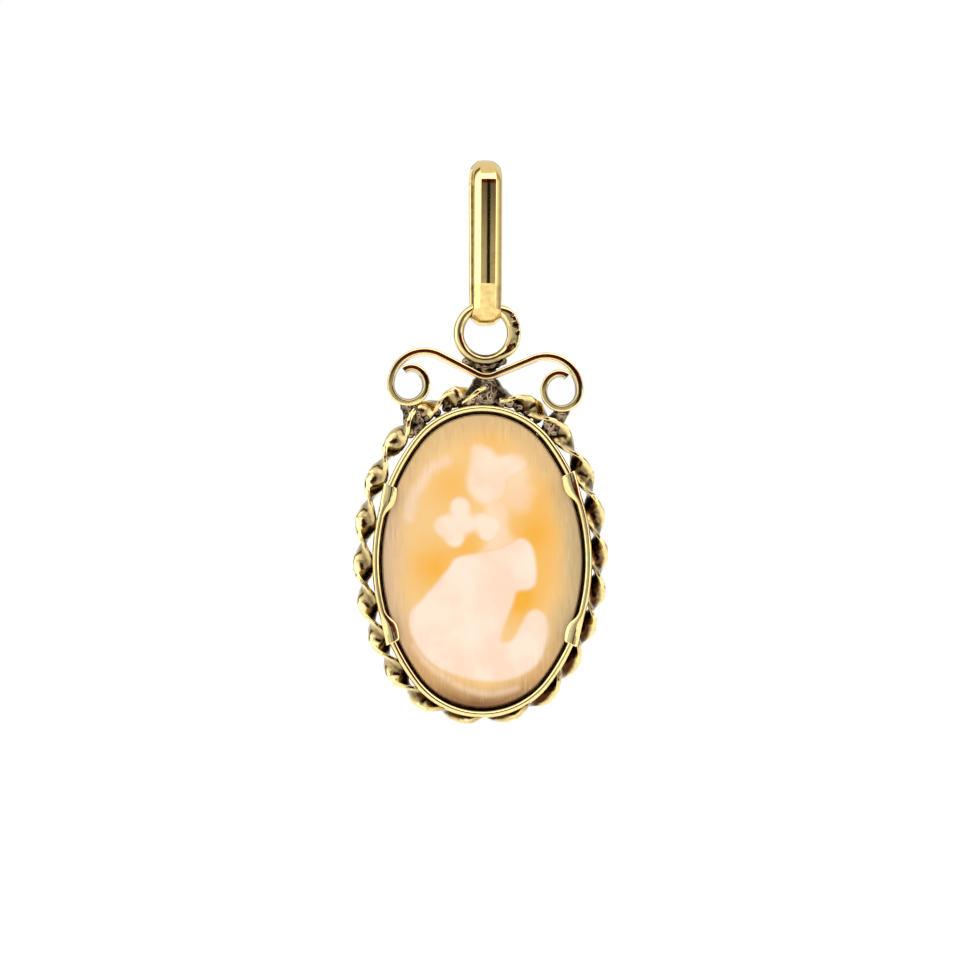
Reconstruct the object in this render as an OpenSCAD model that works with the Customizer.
// Cameo pendant: a carved oval of shell in a gold bezel with a twisted-strip border, hung by
// a scroll and a jump ring from a long bail. +Z is up. -Y is the back, where four claws fold
// over the shell, and +Y is the carved front. The origin is under the arch of the bail's top.

/* [Shell] */
// Width of the shell
shell_w = 12.3; // [10:0.1:15]
// Height of the shell
shell_h = 18; // [16:0.1:24]
// Radius of the shell's round ends, as a share of half its width
shell_end = 0.77; // [0.6:0.01:0.85]
// Thickness of the shell at its rim
shell_rim = 1; // [0.8:0.05:1.5]
// Rise of the front face from the rim to the middle
shell_dome = 0.5; // [0.3:0.05:1]
// Depth of the hollow in the back face
shell_hollow = 0.2; // [0.1:0.05:0.4]
// Height of the carving above the front face
relief_h = 0.55; // [0.3:0.05:0.8]

/* [Bezel] */
// Thickness of the bezel's wall
wall_t = 0.42; // [0.3:0.02:0.7]
// Gap round the shell's edge
seat_gap = 0.15; // [0.05:0.01:0.25]
// Gap between the shell's faces and the metal that holds them
face_gap = 0.04; // [0.02:0.01:0.1]
// Height of the low parts of the wall above the shell's back
wall_rise = 0.15; // [0.05:0.05:0.4]
// Width of the ledge that carries the shell at the front, measured from the shell's edge
ledge_w = 0.35; // [0.2:0.05:0.6]
// Thickness of the ledge
ledge_t = 0.3; // [0.2:0.05:0.5]

/* [Claws] */
// Length of a claw along the wall
claw_len = 1.7; // [1:0.1:2.5]
// Thickness of a claw, and height of the side walls that carry the claws
claw_t = 0.42; // [0.3:0.02:0.6]
// How far a claw reaches over the shell's edge
claw_over = 0.22; // [0.1:0.02:0.6]
// How far a claw's tip flares out of the wall
claw_flare = 0.22; // [0:0.02:0.4]

/* [Twisted border] */
// Width of the strip
strip_w = 1.25; // [1.1:0.05:1.5]
// Thickness of the strip
strip_t = 0.34; // [0.25:0.01:0.45]
// Number of half turns round the border
half_turns = 22; // [16:1:28]
// Where the strip first lies flat, counted in half turns clockwise from the top
first_flat = 0.35; // [0:0.05:1]

/* [Scroll] */
// Overall width of the scroll
scroll_w = 12; // [11.5:0.1:15]
// Thickness of the scroll's wire, seen from the front
wire_t = 0.42; // [0.3:0.02:0.6]
// Depth of the scroll's wire
wire_d = 0.9; // [0.6:0.05:1.2]
// Radius of the large bends, to the middle of the wire
crest_r = 2.06; // [1.6:0.02:2.3]
// Radius of the curls, to the middle of the wire
curl_r = 1.09; // [0.9:0.02:1.25]
// Radius of the dip, to the middle of the wire
dip_r = 1.3; // [0.8:0.05:1.5]
// Height of the dip above the middle of the curls
curl_drop = 0.67; // [0.3:0.02:1]
// Height of the dip above the bezel
scroll_lift = 1.72; // [1.6:0.02:2.2]
// Radius of each curl's tip, to the middle of the wire
tip_r = 0.75; // [0.6:0.01:0.85]
// Direction, seen from the tip's own middle, in which the left curl ends
tip_end = 130; // [90:2:140]
// Lean of the whole scroll to the right
scroll_lean = 2.3; // [0:0.1:4]
// How far the scroll and the ring sit to the right of the bezel's middle
crest_shift = 0.2; // [0:0.02:0.5]

/* [Jump ring] */
// Inner diameter of the jump ring
ring_id = 2.64; // [2.4:0.02:4]
// Diameter of its wire
ring_wire = 0.64; // [0.5:0.02:0.8]
// Width of the flattened stretch at its right
flat_w = 0.84; // [0.6:0.02:1]
// Gap between the ring's outside and the dip of the scroll, filled with solder
ring_lift = 0.5; // [0.1:0.02:0.8]

/* [Bail] */
// Inner length of the bail
bail_len = 8.77; // [7:0.01:14]
// Width of the bail's section
bail_w = 1.77; // [1.4:0.01:1.8]
// Thickness of the bail's section
bail_t = 0.7; // [0.5:0.02:0.8]
// Inner radius of the arch at its top
arch_r = 1; // [0.7:0.05:2]
// Play of the ring's wire in the bail's lower bend, to each side
bend_play = 0.2; // [0.16:0.01:0.3]
// Clearance between the ring and the bend where they come closest
hang_gap = 0.06; // [0.04:0.01:0.1]
// Turn of the bail about the upright axis
bail_turn = 7; // [0:1:8]

/* [Hidden] */
$fn = 96;
gold = "#c9ab62";
bright_gold = "#e2b860";
shell_tone = "#f4cf9c";

// Overlap where two arcs of an outline meet
hair = 0.003;
// How far a straight leg of the bail runs into the bends at its ends, and how much it is
// filed down all round between them
leg_bite = 0.05;
leg_filing = 0.02;
// Times as many points on a ball that is much larger than what it shapes
large_ball = 8;
// Direction, seen from a curl's middle, in which its tighter tip starts
tip_start = 60;
// Share of its thickness at which the strip's and the bail's edges are rounded
edge_share = 0.36;
// How far the border stands out of the bezel at eight even places, clockwise from the top
BORDER_REACH = [1.3, 1.25, 1, 0.87, 0.45, 1.12, 1.2, 1.42];
// Rings of points in each half turn of the strip
twist_steps = 10;
// Share of a claw's reach that is left where it runs out into the side wall
claw_end = 0.2;
// Depth of the flattened stretch of the ring, as a share of its wire, and where it runs
flat_share = 0.75;
flat_from = -20;
flat_to = 30;
// Widths of the solder lumps at their upper and lower ends, and their depth
ring_solder = [2.4 * ring_wire, ring_wire];
neck_solder = [1.5, 3.4];
curl_solder = [1.2, 1.9];
solder_d = 0.8;
// Direction, as seen from the oval's round end, in which the curls' solder meets the bezel
solder_angle = 41;

// Claw tips: side, and height as a share of half the bezel's height
CLAWS = [[-1, 0.47], [1, 0.545], [-1, -0.505], [1, -0.53]];

// Carved masses of the relief. Columns: place right and up as shares of half the shell's
// width and height, radius as a share of half the width, and height as a share of relief_h
MASSES = [
    [-0.10, -0.50, 0.60, 0.72], [-0.40, -0.38, 0.34, 0.60], [0.12, -0.24, 0.42, 0.80],
    [0.28, 0.02, 0.26, 0.72], [0.16, 0.24, 0.18, 0.74], [0.14, 0.42, 0.22, 0.86],
    [0.04, 0.57, 0.24, 1.00], [0.26, 0.57, 0.24, 1.00], [0.16, 0.68, 0.22, 0.92],
    [0.58, -0.42, 0.15, 0.58], [0.46, -0.54, 0.17, 0.60],
    [-0.27, 0.34, 0.12, 0.90], [-0.40, 0.27, 0.12, 0.90], [-0.35, 0.16, 0.12, 0.90],
    [-0.19, 0.16, 0.12, 0.90], [-0.14, 0.27, 0.12, 0.90], [0.05, 0.22, 0.11, 0.80]];

half_w = shell_w / 2;
half_h = shell_h / 2;
end_r = shell_end * half_w;

rim_y = shell_rim / 2;
back_y = -rim_y - face_gap;
claw_y = back_y - claw_t;
// The ledge clears the dome, which has already risen where the ledge ends
ledge_rise = shell_dome * (1 - pow(1 - ledge_w / half_w, 2));
ledge_y = rim_y + ledge_rise + face_gap;
front_y = ledge_y + ledge_t;
wall_in = seat_gap;
wall_out = seat_gap + wall_t;

arch_c = arch_r + bail_t / 2;
bend_r = ring_wire / 2 + bend_play;
bend_c = bend_r + bail_t / 2;
bend_z = -bail_len + bend_r;
taper = asin((arch_r - bend_r) / (-arch_r - bend_z));
leg_len = (-arch_r - bend_z) * cos(taper);

ring_c = (ring_id + ring_wire) / 2;
// The top of the ring's hole clears the bail's section all the way round the section's edge,
// and comes closest to it near the shoulders
ring_z = max([for (angle = [0:5:90])
    let (p = quarter_point(bail_t / 2, bail_w / 2, edge_share * bail_t, angle))
    p[0] - bail_t / 2 - bail_len - sqrt(pow(ring_id / 2 - hang_gap, 2) - pow(p[1], 2))]);
dip_z = ring_z - ring_id / 2 - ring_wire - ring_lift - wire_t / 2;
oval_z = dip_z - scroll_lift - half_h - wall_out;

crest_x = scroll_w / 2 - wire_t / 2 - crest_r;
curl_x = scroll_w / 2 - wire_t / 2 - curl_r;
crest_to_dip = norm([crest_x, curl_drop + dip_r]);
arm_slope = asin((crest_r + dip_r) / crest_to_dip) - atan2(curl_drop + dip_r, crest_x);

// Side radius of a four-arc oval from its half width, half height and end radius
function side_r(a, b, r) = (a * a + b * b - 2 * b * r) / (2 * (a - r));
// Direction in which the end arc meets the side arc
function join_angle(a, b, r) = atan2(b - r, side_r(a, b, r) - a);
// Point of the oval's upper right quarter whose outward direction is the given angle
function quarter_point(a, b, r, angle) =
    let (side = side_r(a, b, r), ends = angle > join_angle(a, b, r))
    ends ? [r * cos(angle), b - r + r * sin(angle)]
         : [a - side + side * cos(angle), side * sin(angle)];
// Length of a quarter of the oval, counted in millimetre degrees
function quarter_len(a, b, r) =
    r * (90 - join_angle(a, b, r)) + side_r(a, b, r) * join_angle(a, b, r);
// Outward direction at a length from the oval's end
function quarter_angle(a, b, r, s) =
    let (join = join_angle(a, b, r), end_len = r * (90 - join))
    s < end_len ? 90 - s / r : join - (s - end_len) / side_r(a, b, r);

// Oval of four arcs. The end arcs overlap the side arcs by a hair, so that they cross cleanly
module oval(a, b, r) {
    side = side_r(a, b, r);
    band = side * sin(join_angle(a, b, r));
    intersection() {
        translate([a - side, 0]) circle(side, $fn = 4 * $fn);
        translate([side - a, 0]) circle(side, $fn = 4 * $fn);
        square([2 * a + 1, 2 * band], center = true);
    }
    for (end = [-1, 1])
        translate([0, end * (b - r)]) circle(r + hair);
}

// The shell's outline, grown by an even margin
module shell_oval(margin) {
    oval(half_w + margin, half_h + margin, end_r + margin);
}

// Stands a flat shape up in the X-Z plane, from one depth to another
module slab(from_y, to_y) {
    translate([0, to_y, 0])
        rotate([90, 0, 0])
            linear_extrude(to_y - from_y) children();
}

// The bail's section, or one that lies a margin inside it
module bail_section(margin = 0) {
    oval(bail_t / 2 - margin, bail_w / 2 - margin, edge_share * bail_t - margin);
}

module bail() {
    color(bright_gold)
        rotate([0, 0, bail_turn])
            rotate([90, 0, 90]) {
                translate([0, -arch_r, 0])
                    rotate([0, 0, -taper])
                        rotate_extrude(angle = 180 + 2 * taper)
                            translate([arch_c, 0]) bail_section();
                translate([0, bend_z, 0])
                    rotate([0, 0, 180 + taper])
                        rotate_extrude(angle = 180 - 2 * taper)
                            translate([bend_c, 0]) bail_section();
                for (side = [0, 1])
                    mirror([side, 0, 0])
                        translate([0, -arch_r, 0])
                            rotate([0, 0, -taper])
                                translate([arch_c, leg_bite, 0])
                                    rotate([90, 0, 0])
                                        linear_extrude(leg_len + 2 * leg_bite)
                                            bail_section(leg_filing);
            }
}

// The plain wall, its front ledge and the two side walls that stand prouder at the back
module bezel() {
    slab(-rim_y - wall_rise, front_y) difference() {
        shell_oval(wall_out);
        shell_oval(wall_in);
    }
    slab(ledge_y, front_y) difference() {
        shell_oval(wall_in + wall_t / 2);
        shell_oval(-ledge_w);
    }
    slab(claw_y, 0) intersection() {
        difference() {
            shell_oval(wall_out);
            shell_oval(wall_in);
        }
        for (side = [0, 1])
            side_band(CLAWS[side], CLAWS[side + 2]);
    }
}

// The half plane stretch between the upper and the lower claw tip of one side
module side_band(upper, lower) {
    reach = half_h + wall_out;
    bottom = lower[1] * reach;
    translate([upper[0] > 0 ? 0 : -reach, bottom])
        square([reach, upper[1] * reach - bottom]);
}

// One claw, drawn along the side wall: flared at its tip, bent over the shell, and narrowing
// to the wall's own thickness
module claw(side, height) {
    outer_a = half_w + wall_out;
    outer_b = half_h + wall_out;
    outer_r = side_r(outer_a, outer_b, end_r + wall_out);
    tip = asin(abs(height) * outer_b / outer_r);
    inward = wall_out + claw_over;
    steps = 8;
    outline = concat(
        [for (i = [0:steps]) let (u = i / steps) [u, claw_flare * pow(1 - u, 2)]],
        [for (i = [steps:-1:0]) let (u = i / steps)
            [u, -wall_t - (inward - wall_t) * sqrt(1 - u * u * (1 - pow(claw_end, 2)))]]);
    mirror([side > 0 ? 0 : 1, 0])
        mirror([0, height > 0 ? 0 : 1])
            polygon([for (p = outline)
                let (angle = tip - p[0] * claw_len / outer_r * 180 / PI, r = outer_r + p[1])
                [outer_a - outer_r + r * cos(angle), r * sin(angle)]]);
}

module claws() {
    for (c = CLAWS)
        slab(claw_y, back_y) claw(c[0], c[1]);
}

// How far the border stands out at a share of its length, eased between the given places
function border_reach(share) =
    let (places = len(BORDER_REACH), place = share * places, i = floor(place),
         ease = (1 - cos(180 * (place - i))) / 2)
    BORDER_REACH[i] * (1 - ease) + BORDER_REACH[(i + 1) % places] * ease;

// A flat strip, twisted evenly while it follows the bezel
module twisted_border() {
    a = half_w + wall_out;
    b = half_h + wall_out;
    r = end_r + wall_out;
    quarter = quarter_len(a, b, r);
    count = half_turns * twist_steps;
    cut = edge_share * strip_t;
    section = [
        for (end = [1, -1], k = [0:3])
            let (x = strip_w / 2 - (k == 1 || k == 2 ? 0 : cut),
                 y = strip_t / 2 - (k == 1 || k == 2 ? cut : 0))
            end * [x, k < 2 ? -y : y]];
    points = [
        for (i = [0:count - 1])
            let (s = 4 * quarter * i / count, right = s < 2 * quarter,
                 h = right ? s : 4 * quarter - s, top = h < quarter,
                 angle = quarter_angle(a, b, r, top ? h : 2 * quarter - h),
                 p = quarter_point(a, b, r, angle),
                 flip = [right ? 1 : -1, top ? 1 : -1],
                 out = [flip[0] * cos(angle), 0, flip[1] * sin(angle)],
                 middle = [flip[0] * p[0], 0, flip[1] * p[1]]
                          + (border_reach(i / count) - strip_w / 2) * out,
                 turn = 180 * (half_turns * i / count - first_flat),
                 wide = cos(turn) * out + [0, sin(turn), 0],
                 thin = [0, cos(turn), 0] - sin(turn) * out)
            for (q = section) middle + q[0] * wide + q[1] * thin];
    sides = len(section);
    shift = half_turns % 2 == 1 ? sides / 2 : 0;
    faces = [
        for (i = [0:count - 1], k = [0:sides - 1])
            let (next = (i + 1) % count, slip = next == 0 ? shift : 0, m = (k + 1) % sides,
                 p00 = i * sides + k, p01 = i * sides + m,
                 p10 = next * sides + (k + slip) % sides, p11 = next * sides + (m + slip) % sides)
            each [[p00, p11, p10], [p00, p01, p11]]];
    polyhedron(points, faces);
}

// Points along an arc, each as [point, direction away from the arc's middle]. An arc that goes
// on from another one skips its first point
function arc_path(middle, radius, from, to, steps, skip = 0) =
    [for (i = [skip:steps])
        let (angle = from + (to - from) * i / steps, out = [cos(angle), sin(angle)])
        [middle + radius * out, out]];

// The scroll, drawn from the middle of the wire at its dip: half of the dip, the straight arm,
// the large bend and the curl, then the same again mirrored
module scroll() {
    half = concat(
        [for (p = arc_path([0, dip_r], dip_r, -90, -90 - arm_slope, 4)) [p[0], -p[1]]],
        arc_path([-crest_x, -curl_drop], crest_r, 90 - arm_slope, 180, 16),
        arc_path([-curl_x, -curl_drop], curl_r, 180, 360 + tip_start, 24, 1),
        arc_path([-curl_x, -curl_drop] + (curl_r - tip_r) * [cos(tip_start), sin(tip_start)],
                 tip_r, tip_start, tip_end, 8, 1));
    upper = [for (p = half) p[0] + p[1] * wire_t / 2];
    lower = [for (p = half) p[0] - p[1] * wire_t / 2];
    for (side = [0, 1])
        mirror([side, 0, 0])
            slab(-wire_d / 2, wire_d / 2)
                polygon(concat([[hair, -wire_t / 2], [hair, wire_t / 2]], upper,
                               [for (i = [len(lower) - 1:-1:0]) lower[i]]));
}

// The closed ring, with a flattened stretch at its right
module jump_ring() {
    rotate([90, 0, 0]) {
        rotate_extrude() translate([ring_c, 0]) circle(d = ring_wire);
        rotate([0, 0, flat_from])
            rotate_extrude(angle = flat_to - flat_from)
                translate([ring_id / 2 + hair, -flat_share * ring_wire / 2])
                    square([flat_w, flat_share * ring_wire]);
    }
}

// A lump of solder between two points, with its own width at each
module lump(from, to, widths) {
    along = (to - from) / norm(to - from);
    across = [along[1], -along[0]] / 2;
    slab(-solder_d / 2, solder_d / 2)
        polygon([from - widths[0] * across, from + widths[0] * across,
                 to + widths[1] * across, to - widths[1] * across]);
}

// Solder between the ring and the dip, the dip and the bezel, and the curls and the bezel
module solder() {
    dip = [crest_shift, dip_z - oval_z];
    ring_edge = [crest_shift, ring_z - oval_z - ring_c];
    lump(ring_edge, dip, ring_solder);
    lump(dip, [0, half_h + wall_out - wall_t / 2], neck_solder);
    foot = quarter_point(half_w + wall_out - wall_t / 2, half_h + wall_out - wall_t / 2,
                         end_r + wall_out - wall_t / 2, solder_angle);
    for (side = [-1, 1])
        let (lean = scroll_lean * side, drop = curl_drop + curl_r)
        lump(dip + [side * curl_x * cos(lean) - drop * sin(scroll_lean),
                    -curl_x * sin(lean) - drop * cos(lean)],
             [side * foot[0], foot[1]], curl_solder);
}

// Everything that is soldered to one piece of gold
module setting() {
    color(gold) {
        translate([-crest_shift, 0, oval_z]) {
            bezel();
            claws();
            solder();
            difference() {
                twisted_border();
                slab(-strip_w, strip_w) shell_oval(wall_in + wall_t / 2);
            }
        }
        translate([0, 0, dip_z])
            rotate([0, scroll_lean, 0]) scroll();
        translate([0, 0, ring_z]) jump_ring();
    }
}

// A plate that stands towards +Y. Its outer face is domed both ways, by sag in the middle, and
// comes down to the plate's edge all round
module dish(depth, sag) {
    across_r = (half_w * half_w + sag * sag) / (2 * sag);
    along_r = (half_h * half_h + sag * sag) / (2 * sag);
    swing = asin((half_h + 1) / along_r);
    translate([0, sag - along_r, 0])
        rotate([0, 90, 0])
            rotate([0, 0, 90 - swing])
                rotate_extrude(angle = 2 * swing, $fn = large_ball * $fn)
                    intersection() {
                        translate([along_r - across_r, 0])
                            circle(across_r, $fn = large_ball * $fn);
                        translate([along_r - sag - depth, -half_w - 1])
                            square([depth + sag + 1, 2 * half_w + 2]);
                    }
}

// A carved mass: the cap of a ball that meets the front face in a circle
module mass(x, z, radius, height) {
    ball = (radius * radius + height * height) / (2 * height);
    rise = shell_dome * max(0, 1 - pow(x / half_w, 2) - pow(z / half_h, 2));
    translate([x, rim_y + rise + height - ball, z]) sphere(ball);
}

// The oval of shell: domed and carved at the front, faintly hollow at the back
module cameo() {
    color(shell_tone)
        translate([-crest_shift, 0, oval_z])
            difference() {
                union() {
                    intersection() {
                        slab(-rim_y, rim_y + shell_dome + 1) shell_oval(0);
                        translate([0, rim_y, 0]) dish(shell_rim + 1, shell_dome);
                    }
                    intersection() {
                        slab(0, rim_y + shell_dome + relief_h) shell_oval(-ledge_w - face_gap);
                        for (m = MASSES)
                            mass(m[0] * half_w, m[1] * half_h, m[2] * half_w, m[3] * relief_h);
                    }
                }
                translate([0, -rim_y, 0]) dish(1, shell_hollow);
            }
}

bail();
setting();
cameo();
